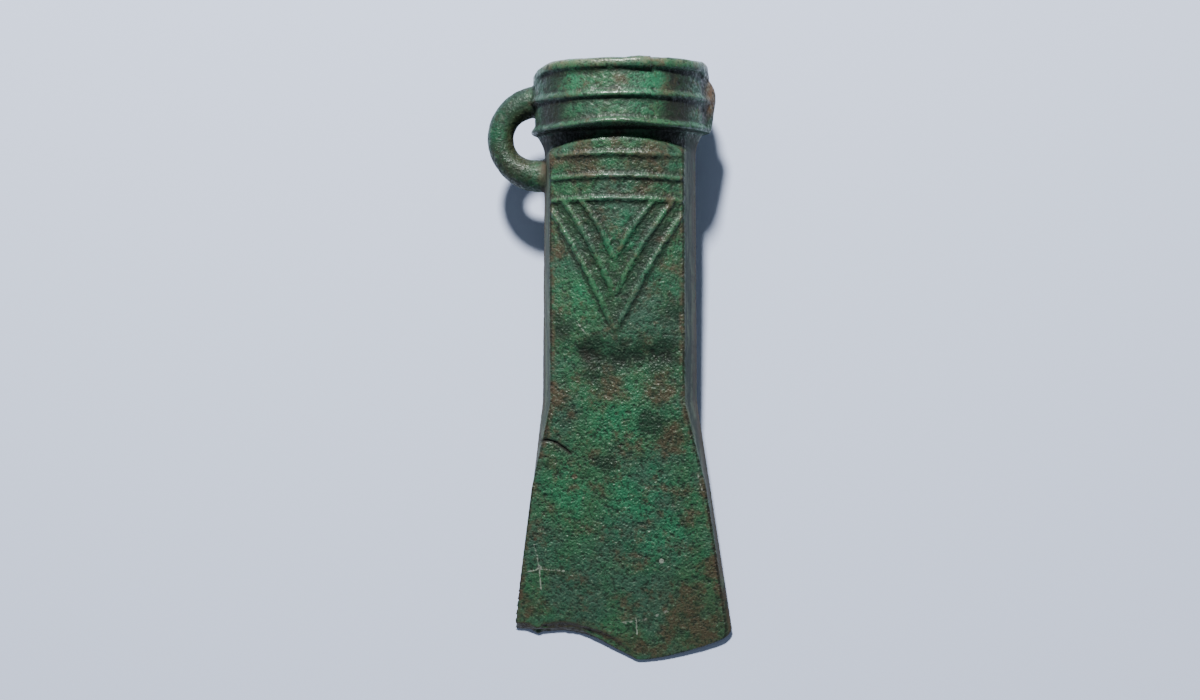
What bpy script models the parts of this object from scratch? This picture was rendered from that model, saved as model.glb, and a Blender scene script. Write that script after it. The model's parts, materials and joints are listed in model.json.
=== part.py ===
"""Looped, socketed axe head of cast bronze with a broken cutting edge, lying on its lower face."""
import math

import bmesh
import bpy
from mathutils import Matrix, Vector
from mathutils.bvhtree import BVHTree

# Depths run from the rim of the mouth towards the cutting edge. All sizes are in metres
LENGTH = 0.1438

# Collar round the mouth: an oval, moulded with a lip, a middle rib and a bottom rib
COLLAR_HALF_WIDTH = 0.0210
COLLAR_HALF_THICKNESS = 0.0177
COLLAR_SQUARENESS = 2.3
COLLAR_SHIFT = 0.0004
COLLAR_SIDE_SPREAD = 1.15
LIP_WIDTH = 0.0021
LIP_CREST_WIDTH = 0.0011
LIP_PROUD = 0.0005
GROOVE_WIDTH = 0.0021
GROOVE_DEPTH = 0.0003
MIDDLE_RIB_AT = 0.0085
BOTTOM_RIB_AT = 0.0144
COLLAR_RIB_WIDTH = 0.0018
COLLAR_RIB_CREST_WIDTH = 0.0005
COLLAR_RIB_PROUD = 0.0006
UNDERCUT_LENGTH = 0.0007

# The lip dips towards both ends of the oval, and the rim with it on the side of the loop
RIM_DIP = 0.0023
LOOP_SIDE_DIP_FROM = 0.0135
FAR_SIDE_DIP_FROM = 0.0175
RIM_DIP_FADES_BY = 0.0070

# Casting flash, a rough bump on the collar's seam on the side away from the loop
FLASH_AT = 0.0072
FLASH_REACH = 0.0060
FLASH_PROUD = 0.0018

# Six-sided body: a panel front and back, with two facets on each side that meet at the seam
BODY_HALF_WIDTH = 0.0189
NECK_NARROWING = 0.0005
PANEL_HALF_WIDTH = 0.0161
ARRIS_HALF_THICKNESS = 0.0110
NECK_CROWN = 0.0040
WAIST_CROWN = 0.0010
WAIST_AT = 0.0662
CROWN_ENDS_AT = 0.0752
SEAM_HALF_THICKNESS = 0.0009
SEAM_PROUD = 0.0003

# Blade: it thins and widens from the end of the body to the curved cutting edge
THINNING_STARTS_AT = 0.0642
THINNING_HALF_THICKNESS = 0.0098
FLARE_STARTS_AT = 0.0808
FLARE_SLOPE = 0.137
SHOULDER_HALF_THICKNESS = 0.0090
HEEL_LENGTH = 0.0085
HEEL_HALF_THICKNESS = 0.0015
EDGE_HALF_THICKNESS = 0.00045
EDGE_SAG = 0.0070
EDGE_FACET_WIDTH = 0.0011
FACETS_NARROW_BY = 0.1020
CORNER_RADIUS = 0.0030

# The casting isn't quite even: how far its seams and its panels sit off the middle line
NECK_SHIFT = 0.0004
WAIST_SHIFT = -0.0002
EDGE_SHIFT = 0.0003
NECK_PANEL_SHIFT = 0.0004
EDGE_PANEL_SHIFT = -0.0005

# Raised lines: level ribs across each panel, and nested V's below them
LINE_RADIUS = 0.0006
FIRST_RIB_AT = 0.0215
RIB_PITCH = 0.0053
RIB_COUNT = 3
RIB_SLANT = 0.03
RIB_BOW = 0.0004
VEE_APEX_AT = 0.0636
VEE_APEX_PITCH = 0.0084
VEE_TOP_HALF_WIDTH = 0.0178
VEE_TOP_PITCH = 0.0043
VEE_COUNT = 3
BACK_VEES = (2,)
VEE_TOP_SHIFT = 0.0009
VEE_APEX_SHIFT = -0.0003
VEE_SAG = 0.0008
LINE_END_GAP = 0.0004

# Loop on the side, a rod bent to half an oval in the plane of the seam
LOOP_MIDDLE_X = -0.0195
LOOP_MIDDLE_AT = 0.0169
LOOP_REACH = 0.0091
LOOP_HALF_SPAN = 0.0087
LOOP_ROD_RADIUS = 0.0029
LOOP_ROOT_RADIUS = 0.0037
LOOP_ROOT_LENGTH = 0.0035
LOOP_ROOT_FADE = 4

# Socket: an oval mouth that narrows to a flat floor
RIM_WALL = 0.0031
MOUTH_BEVEL_DEPTH = 0.0160
SOCKET_DEPTH = 0.0863
BODY_WALL = 0.0031
FLOOR_WALL = 0.0042
SOCKET_SQUARENESS = 2.9
SOCKET_CLEAR_END = 0.0040

# Break in the cutting edge, from the loop side inwards: (place across the blade, how far it
# reaches back from the end of the blade)
BREAK_OUTLINE = (
    (-0.0300, 0.0085), (-0.0226, 0.0081), (-0.0208, 0.0069), (-0.0190, 0.0079),
    (-0.0140, 0.0082), (-0.0090, 0.0071), (-0.0037, 0.0054), (-0.0009, 0.0039),
    (0.0019, 0.0015), (0.0040, -0.0015),
)
BREAK_SLANT = 1.1
BREAK_HALF_HEIGHT = 0.0045
BREAK_CLEAR_END = 0.0100

# Fineness of the faceted solid
HALF_PANEL_STEPS = 8
FACET_STEPS = 3
SOCKET_SIDES = 36
LOOP_STEPS = 16
LINE_STEPS = 8
LINE_SEARCH_STEPS = 100
BODY_STATION_GAP = 0.0075
ROUND_STEPS = 3
TUBE_RESOLUTION = 2
LINE_RESOLUTION = 1
WELD_DISTANCE = 0.00001

BRONZE_COLOUR = (0.075, 0.190, 0.120, 1.0)
BRONZE_ROUGHNESS = 0.62
BRONZE_METALLIC = 0.25


def clear_scene():
    for item in list(bpy.data.objects):
        bpy.data.objects.remove(item, do_unlink=True)


def new_collection(name):
    collection = bpy.data.collections.new(name)
    bpy.context.scene.collection.children.link(collection)
    return collection


def along(depth, knots):
    """Value at a depth on a chain of straight runs through (depth, value) knots."""
    for (start, low), (end, high) in zip(knots, knots[1:]):
        if depth <= end:
            share = max(0.0, (depth - start) / (end - start))
            return low + (high - low) * share
    return knots[-1][1]


def body_starts_at():
    return BOTTOM_RIB_AT + COLLAR_RIB_WIDTH / 2 + UNDERCUT_LENGTH


def heel_at():
    return LENGTH - HEEL_LENGTH


def arris_half_thickness(depth):
    return along(depth, (
        (body_starts_at(), ARRIS_HALF_THICKNESS),
        (THINNING_STARTS_AT, THINNING_HALF_THICKNESS),
        (FLARE_STARTS_AT, SHOULDER_HALF_THICKNESS),
        (heel_at(), HEEL_HALF_THICKNESS),
        (LENGTH, EDGE_HALF_THICKNESS),
    ))


def crown(depth):
    """How far the middle of a panel stands above its arrises."""
    return along(depth, (
        (body_starts_at(), NECK_CROWN),
        (WAIST_AT, WAIST_CROWN),
        (CROWN_ENDS_AT, 0.0),
    ))


def curving(depth):
    """Share of the cutting edge's curve that a section has: none on the body, all at the edge."""
    return max(0.0, (depth - FLARE_STARTS_AT) / (LENGTH - FLARE_STARTS_AT)) ** 2


def seam_shift(depth):
    return along(depth, (
        (body_starts_at(), NECK_SHIFT),
        (FLARE_STARTS_AT, WAIST_SHIFT),
        (LENGTH, EDGE_SHIFT),
    ))


def seam_half_width(depth):
    side_depth = depth - EDGE_SAG * curving(depth)
    width = BODY_HALF_WIDTH + FLARE_SLOPE * max(0.0, side_depth - FLARE_STARTS_AT)
    width -= along(depth, ((body_starts_at(), NECK_NARROWING), (FLARE_STARTS_AT, 0.0)))
    past = depth - (LENGTH - CORNER_RADIUS)
    if past > 0.0:
        width -= CORNER_RADIUS - math.sqrt(max(0.0, CORNER_RADIUS ** 2 - past ** 2))
    return width


def panel_half_width(depth):
    if depth <= FLARE_STARTS_AT:
        return PANEL_HALF_WIDTH
    facet = along(depth, (
        (FLARE_STARTS_AT, BODY_HALF_WIDTH - PANEL_HALF_WIDTH),
        (FACETS_NARROW_BY, EDGE_FACET_WIDTH),
    ))
    return seam_half_width(depth) - facet


def panel_shift(depth):
    return along(depth, ((body_starts_at(), NECK_PANEL_SHIFT), (LENGTH, EDGE_PANEL_SHIFT)))


def panel_height(x, depth):
    """Height of a panel above the seam's plane."""
    share = (x - panel_shift(depth)) / panel_half_width(depth)
    return arris_half_thickness(depth) + crown(depth) * (1.0 - share ** 2)


def casting_point(x, depth, height):
    return Vector((x, -depth, height))


def body_quarter(depth, side):
    """Points of a body section from the middle of the front panel out to the seam."""
    width = panel_half_width(depth)
    shift = panel_shift(depth)
    outline = []
    for step in range(HALF_PANEL_STEPS + 1):
        x = shift + side * width * step / HALF_PANEL_STEPS
        outline.append((x, panel_height(x, depth)))
    arris = outline[-1]
    seam = seam_shift(depth) + side * seam_half_width(depth)
    shoulder = (seam - side * SEAM_PROUD, min(SEAM_HALF_THICKNESS, arris[1] / 2))
    for step in range(1, FACET_STEPS + 1):
        share = step / FACET_STEPS
        outline.append(tuple(a + (b - a) * share for a, b in zip(arris, shoulder)))
    outline.append((seam, 0.0))
    return outline


def oval_point(half_width, half_thickness, squareness, turn):
    """Point on a squared oval, with the turn counted from the seam's plane."""
    cosine = math.cos(turn)
    sine = math.sin(turn)
    x = half_width * math.copysign(abs(cosine) ** (2 / squareness), cosine)
    height = half_thickness * math.copysign(abs(sine) ** (2 / squareness), sine)
    return x, height


def flash(depth):
    return FLASH_PROUD * max(0.0, 1.0 - ((depth - FLASH_AT) / FLASH_REACH) ** 2)


def collar_quarter(depth, proud, side):
    """Points of a collar section, in step with those of a body section."""
    arris_turn = math.atan2(ARRIS_HALF_THICKNESS, PANEL_HALF_WIDTH) * COLLAR_SIDE_SPREAD
    turns = []
    for step in range(HALF_PANEL_STEPS + 1):
        turns.append(math.pi / 2 - (math.pi / 2 - arris_turn) * step / HALF_PANEL_STEPS)
    shoulder_turn = arris_turn / (FACET_STEPS + 1) / 2
    for step in range(1, FACET_STEPS + 1):
        turns.append(arris_turn + (shoulder_turn - arris_turn) * step / FACET_STEPS)
    turns.append(0.0)
    outline = []
    for turn in turns:
        x, height = oval_point(
            COLLAR_HALF_WIDTH + proud, COLLAR_HALF_THICKNESS + proud, COLLAR_SQUARENESS, turn)
        outline.append((COLLAR_SHIFT + side * x, height))
    if side > 0:
        x, height = outline[-1]
        outline[-1] = (x + flash(depth), height)
        x, height = outline[-2]
        outline[-2] = (x + flash(depth) / 2, height)
    return outline


def rim_dip(x, depth):
    """How far the rim and the groove under its lip dip below the plane of the mouth."""
    start = LOOP_SIDE_DIP_FROM if x < COLLAR_SHIFT else FAR_SIDE_DIP_FROM
    past = max(0.0, abs(x - COLLAR_SHIFT) - start)
    share = min(1.0, past / (COLLAR_HALF_WIDTH - start))
    level = 1.0 if x < COLLAR_SHIFT else min(1.0, depth / LIP_WIDTH)
    return RIM_DIP * share ** 2 * level * max(0.0, 1.0 - depth / RIM_DIP_FADES_BY)


def full_section(right, left):
    """Closed section from its two front quarters, mirrored to the back."""
    front = right[::-1] + left[1:]
    back = [(x, -height) for x, height in front[1:-1]]
    return front + back[::-1]


def collar_stations():
    """Depths along the collar and how far each stands proud of its plain oval."""
    crest_starts = (LIP_WIDTH - LIP_CREST_WIDTH) / 2
    crest_ends = crest_starts + LIP_CREST_WIDTH
    stations = [
        (0.0, LIP_PROUD / 2),
        (crest_starts, LIP_PROUD),
        (crest_ends, LIP_PROUD),
        (crest_ends + GROOVE_WIDTH / 2, -GROOVE_DEPTH),
        (crest_ends + GROOVE_WIDTH, 0.0),
    ]
    for rib_at in (MIDDLE_RIB_AT, BOTTOM_RIB_AT):
        stations.append((rib_at - COLLAR_RIB_WIDTH / 2, 0.0))
        stations.append((rib_at - COLLAR_RIB_CREST_WIDTH / 2, COLLAR_RIB_PROUD))
        stations.append((rib_at + COLLAR_RIB_CREST_WIDTH / 2, COLLAR_RIB_PROUD))
        stations.append((rib_at + COLLAR_RIB_WIDTH / 2, 0.0))
    return stations


def body_depths():
    """Depths of the body's sections, close together at its turns and at the rounded corners."""
    turns = [body_starts_at(), THINNING_STARTS_AT, CROWN_ENDS_AT, FLARE_STARTS_AT, heel_at(),
             LENGTH - CORNER_RADIUS]
    depths = []
    for start, end in zip(turns, turns[1:]):
        count = max(1, round((end - start) / BODY_STATION_GAP))
        depths += [start + (end - start) * step / count for step in range(count)]
    for step in range(ROUND_STEPS + 1):
        turn = math.pi / 2 * step / ROUND_STEPS
        depths.append(LENGTH - CORNER_RADIUS + CORNER_RADIUS * math.sin(turn))
    return depths


def skin(mesh_sections):
    """Mesh with a skin over like sections, and a row of faces closing each end."""
    shape = bmesh.new()
    rings = [[shape.verts.new(point) for point in section] for section in mesh_sections]
    count = len(rings[0])
    for first, second in zip(rings, rings[1:]):
        for index in range(count):
            after = (index + 1) % count
            shape.faces.new((first[index], first[after], second[after], second[index]))
    half = count // 2
    for ring in (rings[0], rings[-1]):
        for index in range(half):
            corners = (ring[index], ring[index + 1], ring[(-index - 1) % count], ring[-index])
            shape.faces.new(list(dict.fromkeys(corners)))
    bmesh.ops.recalc_face_normals(shape, faces=shape.faces)
    mesh = bpy.data.meshes.new("skin")
    shape.to_mesh(mesh)
    shape.free()
    return mesh


def casting_mesh():
    """The whole outside: collar, body and blade in one skin."""
    sections = []
    for depth, proud in collar_stations():
        outline = full_section(collar_quarter(depth, proud, 1), collar_quarter(depth, proud, -1))
        sections.append([
            casting_point(x, depth + rim_dip(x, depth), height) for x, height in outline])
    for depth in body_depths():
        outline = full_section(body_quarter(depth, 1), body_quarter(depth, -1))
        reach = seam_half_width(depth) + abs(seam_shift(depth))
        sag = EDGE_SAG * curving(depth)
        sections.append([
            casting_point(x, depth - sag * (x / reach) ** 2, height) for x, height in outline])
    return skin(sections)


def socket_mesh():
    """Space inside the casting, from outside the mouth down to the socket's floor."""
    mouth = (COLLAR_HALF_WIDTH - RIM_WALL, COLLAR_HALF_THICKNESS - RIM_WALL)
    stations = [
        (-SOCKET_CLEAR_END, *mouth, COLLAR_SQUARENESS),
        (LIP_WIDTH, *mouth, COLLAR_SQUARENESS),
    ]
    for depth, wall in ((MOUTH_BEVEL_DEPTH, BODY_WALL), (WAIST_AT, BODY_WALL),
                        (SOCKET_DEPTH, FLOOR_WALL)):
        half_width = seam_half_width(depth) - wall
        half_height = arris_half_thickness(depth) + crown(depth) - wall
        stations.append((depth, half_width, half_height, SOCKET_SQUARENESS))
    sections = []
    for depth, half_width, half_height, squareness in stations:
        ring = []
        shift = along(depth, ((0.0, COLLAR_SHIFT), (MOUTH_BEVEL_DEPTH, 0.0)))
        for step in range(SOCKET_SIDES):
            turn = math.tau * step / SOCKET_SIDES
            x, height = oval_point(half_width, half_height, squareness, turn)
            ring.append(casting_point(x + shift, depth, height))
        sections.append(ring)
    return skin(sections)


def add_tool(name, mesh, collection, frame):
    """A guide or cutter: it shapes the casting and isn't part of it."""
    tool = bpy.data.objects.new(name, mesh)
    collection.objects.link(tool)
    tool.parent = frame
    tool.hide_render = True
    tool.display_type = "WIRE"
    return tool


def mesh_from_curve(curve):
    """The curve's filled form as one closed mesh, with its caps welded."""
    holder = bpy.data.objects.new(curve.name, curve)
    bpy.context.scene.collection.objects.link(holder)
    bpy.context.view_layer.update()
    evaluated = holder.evaluated_get(bpy.context.evaluated_depsgraph_get())
    mesh = bpy.data.meshes.new_from_object(evaluated)
    bpy.data.objects.remove(holder, do_unlink=True)
    shape = bmesh.new()
    shape.from_mesh(mesh)
    bmesh.ops.remove_doubles(shape, verts=shape.verts, dist=WELD_DISTANCE)
    bmesh.ops.recalc_face_normals(shape, faces=shape.faces)
    shape.to_mesh(mesh)
    shape.free()
    return mesh


def tube_mesh(name, points, radii, resolution):
    """Closed round tube along a chain of points, with a radius for each."""
    curve = bpy.data.curves.new(name, "CURVE")
    curve.dimensions = "3D"
    curve.bevel_depth = 1.0
    curve.bevel_resolution = resolution
    curve.use_fill_caps = True
    spline = curve.splines.new("POLY")
    spline.points.add(len(points) - 1)
    for spline_point, point, radius in zip(spline.points, points, radii):
        spline_point.co = (*point, 1.0)
        spline_point.radius = radius
    return mesh_from_curve(curve)


def line_mesh(name, places, face):
    """Raised line through (x, depth) places on the front panel, or the back where face is -1."""
    points = [casting_point(x, depth, face * panel_height(x, depth)) for x, depth in places]
    return tube_mesh(name, points, [LINE_RADIUS] * len(points), LINE_RESOLUTION)


def rib_places(number):
    """A level rib from arris to arris, slanted and bowed a little."""
    depth = FIRST_RIB_AT + RIB_PITCH * number
    reach = panel_half_width(depth) - LINE_END_GAP
    places = []
    for step in range(LINE_STEPS + 1):
        share = 2 * step / LINE_STEPS - 1
        x = panel_shift(depth) + reach * share
        places.append((x, depth + RIB_SLANT * max(0.0, x) + RIB_BOW * share ** 2))
    return places


def vee_places(number, side):
    """One arm of a V, from the last rib or the arris down to the apex."""
    top_depth = FIRST_RIB_AT + RIB_PITCH * (RIB_COUNT - 1)
    top_x = VEE_TOP_SHIFT + side * (VEE_TOP_HALF_WIDTH - VEE_TOP_PITCH * number)
    top = Vector((top_x, top_depth))
    apex = Vector((VEE_APEX_SHIFT, VEE_APEX_AT - VEE_APEX_PITCH * number))
    arm = apex - top
    inward = Vector((-side * arm.y, side * arm.x)).normalized()

    def place(share):
        return top + arm * share + inward * VEE_SAG * 4 * share * (1 - share)

    def on_panel(share):
        x, depth = place(share)
        return abs(x - panel_shift(depth)) <= panel_half_width(depth) - LINE_END_GAP

    tries = [step / LINE_SEARCH_STEPS for step in range(LINE_SEARCH_STEPS + 1)]
    start = next(share for share in tries if on_panel(share))
    shares = [start + (1 - start) * step / LINE_STEPS for step in range(LINE_STEPS + 1)]
    return [tuple(place(share)) for share in shares]


def raised_line_meshes():
    meshes = []
    for face, face_name, vees in ((1, "front", range(VEE_COUNT)), (-1, "back", BACK_VEES)):
        for number in range(RIB_COUNT):
            name = f"{face_name}_rib_{number + 1}"
            meshes.append((name, line_mesh(name, rib_places(number), face)))
        for number in vees:
            for side, side_name in ((-1, "left"), (1, "right")):
                name = f"{face_name}_vee_{number + 1}_{side_name}"
                meshes.append((name, line_mesh(name, vee_places(number, side), face)))
    return meshes


def loop_mesh():
    """Rod bent to half an oval, with thicker roots that run into the collar and the body."""
    places = [(LOOP_MIDDLE_X + LOOP_ROOT_LENGTH, LOOP_MIDDLE_AT - LOOP_HALF_SPAN)]
    radii = [LOOP_ROOT_RADIUS]
    for step in range(LOOP_STEPS + 1):
        turn = math.pi * step / LOOP_STEPS
        x = LOOP_MIDDLE_X - LOOP_REACH * math.sin(turn)
        places.append((x, LOOP_MIDDLE_AT - LOOP_HALF_SPAN * math.cos(turn)))
        flare = abs(math.cos(turn)) ** LOOP_ROOT_FADE
        radii.append(LOOP_ROD_RADIUS + (LOOP_ROOT_RADIUS - LOOP_ROD_RADIUS) * flare)
    places.append((LOOP_MIDDLE_X + LOOP_ROOT_LENGTH, LOOP_MIDDLE_AT + LOOP_HALF_SPAN))
    radii.append(LOOP_ROOT_RADIUS)
    points = [casting_point(x, depth, 0.0) for x, depth in places]
    return tube_mesh("loop", points, radii, TUBE_RESOLUTION)


def break_mesh():
    """Everything past the ragged break, with a slanted face that looks up at the front."""
    outline = [(x, LENGTH - reach) for x, reach in BREAK_OUTLINE]
    for x in (outline[-1][0], outline[0][0]):
        outline.append((x, LENGTH + BREAK_CLEAR_END))
    curve = bpy.data.curves.new("broken_edge", "CURVE")
    curve.dimensions = "2D"
    curve.fill_mode = "BOTH"
    curve.extrude = BREAK_HALF_HEIGHT
    spline = curve.splines.new("POLY")
    spline.points.add(len(outline) - 1)
    for spline_point, (x, depth) in zip(spline.points, outline):
        spline_point.co = (x, -depth, 0.0, 1.0)
    spline.use_cyclic_u = True
    mesh = mesh_from_curve(curve)
    slant = Matrix.Identity(4)
    slant[1][2] = BREAK_SLANT
    mesh.transform(slant)
    return mesh


def bronze():
    material = bpy.data.materials.new("patinated_bronze")
    material.use_nodes = True
    shader = material.node_tree.nodes["Principled BSDF"]
    shader.inputs["Base Color"].default_value = BRONZE_COLOUR
    shader.inputs["Roughness"].default_value = BRONZE_ROUGHNESS
    shader.inputs["Metallic"].default_value = BRONZE_METALLIC
    return material


def add_boolean(piece, name, operation, tool=None, tools=None):
    modifier = piece.modifiers.new(name, "BOOLEAN")
    modifier.operation = operation
    modifier.solver = "EXACT"
    if tools is not None:
        modifier.operand_type = "COLLECTION"
        modifier.collection = tools
    else:
        modifier.object = tool


def evaluated_shape(piece):
    """The finished casting in its own coordinates, as a bmesh."""
    bpy.context.view_layer.update()
    evaluated = piece.evaluated_get(bpy.context.evaluated_depsgraph_get())
    shape = bmesh.new()
    shape.from_mesh(evaluated.to_mesh())
    evaluated.to_mesh_clear()
    return shape


def centre_of_mass(shape):
    bmesh.ops.triangulate(shape, faces=shape.faces)
    total = 0.0
    moment = Vector((0.0, 0.0, 0.0))
    for face in shape.faces:
        a, b, c = (vert.co for vert in face.verts)
        volume = a.dot(b.cross(c)) / 6
        total += volume
        moment += volume * (a + b + c) / 4
    return moment / total


def resting_turn(piece):
    """Turn that lays the casting on the face of its hull that ends up under its own weight."""
    shape = evaluated_shape(piece)
    centre = centre_of_mass(shape)
    hull = bmesh.ops.convex_hull(shape, input=shape.verts)["geom"]
    kept = {item for item in hull if isinstance(item, bmesh.types.BMFace)}
    bmesh.ops.delete(
        shape, geom=[face for face in shape.faces if face not in kept], context="FACES_ONLY")
    tree = BVHTree.FromBMesh(shape)
    down = Vector((0.0, 0.0, -1.0))
    face_index = None
    while True:
        location, normal, index, distance = tree.ray_cast(centre, down)
        if index == face_index:
            break
        face_index = index
        down = normal if normal.dot(down) > 0 else -normal
    shape.free()
    turn = down.rotation_difference(Vector((0.0, 0.0, -1.0))).to_matrix().to_4x4()
    axis = turn @ Vector((0.0, 1.0, 0.0))
    return Matrix.Rotation(math.atan2(axis.x, axis.y), 4, "Z") @ turn


def lay_down(piece, frame):
    """Turn the casting's frame to the resting pose, with the origin under the middle of its box."""
    turn = resting_turn(piece)
    shape = evaluated_shape(piece)
    corners = [turn @ vert.co for vert in shape.verts]
    shape.free()
    lows = [min(corner[axis] for corner in corners) for axis in range(3)]
    highs = [max(corner[axis] for corner in corners) for axis in range(3)]
    base = Vector(((lows[0] + highs[0]) / 2, (lows[1] + highs[1]) / 2, lows[2]))
    frame.matrix_world = Matrix.Translation(-base) @ turn


def build():
    clear_scene()
    part = new_collection("socketed_axe_head")
    tools = new_collection("cutters")
    lines = new_collection("raised_lines")
    frame = bpy.data.objects.new("casting_frame", None)
    part.objects.link(frame)
    axe_head = bpy.data.objects.new("axe_head", casting_mesh())
    axe_head.data.name = "axe_head"
    axe_head.data.materials.append(bronze())
    axe_head.parent = frame
    part.objects.link(axe_head)
    loop = add_tool("loop", loop_mesh(), tools, frame)
    for name, mesh in raised_line_meshes():
        add_tool(name, mesh, lines, frame)
    socket = add_tool("socket_space", socket_mesh(), tools, frame)
    broken = add_tool("broken_edge", break_mesh(), tools, frame)
    add_boolean(axe_head, "loop", "UNION", tool=loop)
    add_boolean(axe_head, "raised_lines", "UNION", tools=lines)
    add_boolean(axe_head, "socket", "DIFFERENCE", tool=socket)
    add_boolean(axe_head, "broken_edge", "DIFFERENCE", tool=broken)
    lay_down(axe_head, frame)
    bpy.context.view_layer.update()


build()
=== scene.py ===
"""Looks of a looped, socketed axe head of cast bronze, green with age, lying on a pale floor."""

import json
import math

import bpy
import numpy as np
from mathutils import Matrix, Vector


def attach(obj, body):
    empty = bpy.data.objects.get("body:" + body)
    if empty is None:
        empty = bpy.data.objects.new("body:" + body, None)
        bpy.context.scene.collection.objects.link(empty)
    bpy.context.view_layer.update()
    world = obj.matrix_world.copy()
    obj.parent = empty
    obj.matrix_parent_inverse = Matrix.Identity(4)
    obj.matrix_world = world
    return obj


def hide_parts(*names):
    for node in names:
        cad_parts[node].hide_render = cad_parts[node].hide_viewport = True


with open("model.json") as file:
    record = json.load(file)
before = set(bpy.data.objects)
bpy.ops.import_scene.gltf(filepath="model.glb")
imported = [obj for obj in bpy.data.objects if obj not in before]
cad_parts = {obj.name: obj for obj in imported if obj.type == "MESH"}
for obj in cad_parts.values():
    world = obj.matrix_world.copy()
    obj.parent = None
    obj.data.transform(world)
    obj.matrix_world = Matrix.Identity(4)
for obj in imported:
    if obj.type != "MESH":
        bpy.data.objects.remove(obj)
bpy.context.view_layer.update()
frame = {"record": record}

bl_info = {
    "name": "Socketed axe head",
    "version": (1, 0, 0),
    "blender": (4, 5, 0),
    "location": "3D View > Sidebar > Axe Head",
    "description": "Builds a patinated, looped and socketed bronze axe head, and the stage it lies on",
    "category": "Object",
}

PIECE = "patinated_axe_head"
NODE = "axe_head"

# Collar round the mouth. Depths run from the rim of the mouth towards the cutting edge, in metres
COLLAR_SQUARENESS = 2.15
COLLAR_SHIFT = 0.0004
COLLAR_SIDE_SPREAD = 1.15
LIP_WIDTH = 0.0021
COLLAR_PROFILE = (
    (-0.0006, -0.0006), (0.0000, 0.0005), (0.0015, 0.0006), (0.0022, -0.0003), (0.0030, -0.0003),
    (0.0068, -0.0001), (0.0079, 0.0006), (0.0084, 0.0005), (0.0088, -0.0004), (0.0104, -0.0004),
    (0.0131, -0.0003), (0.0141, 0.0006), (0.0146, 0.0005), (0.0150, -0.0004),
)
COLLAR_START = -0.0006
COLLAR_END = 0.0151
BOW_RISES_BY = 0.8
LOOP_SIDE_BOW = ((0.0020, 0.0), (0.0080, 0.0001), (0.0143, 0.0010))
LIP_MERGES_BY = 0.0034
FAR_SIDE_BOW = ((0.0020, 0.0), (0.0080, 0.0002), (0.0143, 0.0010))
NECK_START = 0.0160
NECK_END = 0.0212
NECK_FUNNEL = 0.0019
ARCH_AT = 0.0174
ARCH_FALL = 0.0030
ARCH_ROUNDING = 0.0006
RECESS_DEPTH = 0.0010
CORNER_RECESS_DEPTH = 0.0026
# Depth from which shade is painted under the collar, before the collar's bow is added
COLLAR_SHADE_FROM = 0.0147
RIM_DIP = 0.0023
LOOP_SIDE_DIP_FROM = 0.0135
FAR_SIDE_DIP_FROM = 0.0175
RIM_DIP_FADES_BY = 0.0070
FLASH_PROFILE = (
    (-0.0006, -0.0006), (0.0002, 0.0005), (0.0016, 0.0009), (0.0024, 0.0013), (0.0042, 0.0020),
    (0.0060, 0.0024), (0.0080, 0.0024), (0.0102, 0.0020), (0.0120, 0.0017), (0.0144, 0.0012),
    (0.0150, 0.0008),
)
FLASH_HALF_HEIGHT = 0.0024
FLASH_BROWN_AT = 0.0062

# Six-sided body and the blade that it runs into
NECK_NARROWING = 0.0005
NECK_CROWN = 0.0040
WAIST_CROWN = 0.0010
WAIST_AT = 0.0662
CROWN_ENDS_AT = 0.0752
SEAM_HALF_THICKNESS = 0.0009
SEAM_PROUD = 0.0003
THINNING_STARTS_AT = 0.0642
THINNING_HALF_THICKNESS = 0.0098
SHOULDER_HALF_THICKNESS = 0.0090
HEEL_LENGTH = 0.0085
HEEL_HALF_THICKNESS = 0.0015
EDGE_HALF_THICKNESS = 0.00045
EDGE_SAG = 0.0066
EDGE_FACET_WIDTH = 0.0003
MIDDLE_FACET_WIDTH = 0.0006
FACETS_NARROW_BY = 0.1020
CORNER_RADIUS = 0.0023
NECK_SHIFT = 0.0004
WAIST_SHIFT = -0.0002
EDGE_SHIFT = 0.0003
NECK_PANEL_SHIFT = 0.0004
EDGE_PANEL_SHIFT = -0.0005

# Raised lines on the panels
RIB_COUNT = 3
RIB_SLANT = 0.03
RIB_BOW = 0.0004
VEE_COUNT = 3
BACK_VEES = (2,)
VEE_TOP_HALF_WIDTH = 0.0178
VEE_TOP_PITCH = 0.0043
VEE_TOP_SHIFT = 0.0009
VEE_APEX_SHIFT = -0.0003
VEE_SAG = 0.0008
LINE_END_GAP = 0.0004
LINE_SINKING = 0.00008
LINE_FADE_LENGTH = 0.0035
FIRST_RIB_FADE_LENGTH = 0.0060
DROP_HEIGHT = 0.0300

# Loop on the side
LOOP_MIDDLE_X = -0.0195
LOOP_ROOT_RADIUS = 0.0039
LOOP_ROOT_LENGTH = 0.0035
LOOP_ROOT_FADE = 4

# Socket
RIM_WALL = 0.0031
RIM_ROUNDING = 0.0006
MOUTH_BEVEL_DEPTH = 0.0160
BODY_WALL = 0.0031
FLOOR_WALL = 0.0042
SOCKET_SQUARENESS = 2.9
FLOOR_ROUNDING = 0.0015

# Break in the cutting edge: (place across the blade, how far it reaches back from its end)
BREAK_OUTLINE = (
    (-0.0300, 0.0085), (-0.0226, 0.0081), (-0.0208, 0.0069), (-0.0190, 0.0079),
    (-0.0140, 0.0082), (-0.0090, 0.0071), (-0.0037, 0.0054), (-0.0009, 0.0039),
    (0.0019, 0.0015), (0.0040, -0.0015),
)
BREAK_SLANT = 1.1

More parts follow.
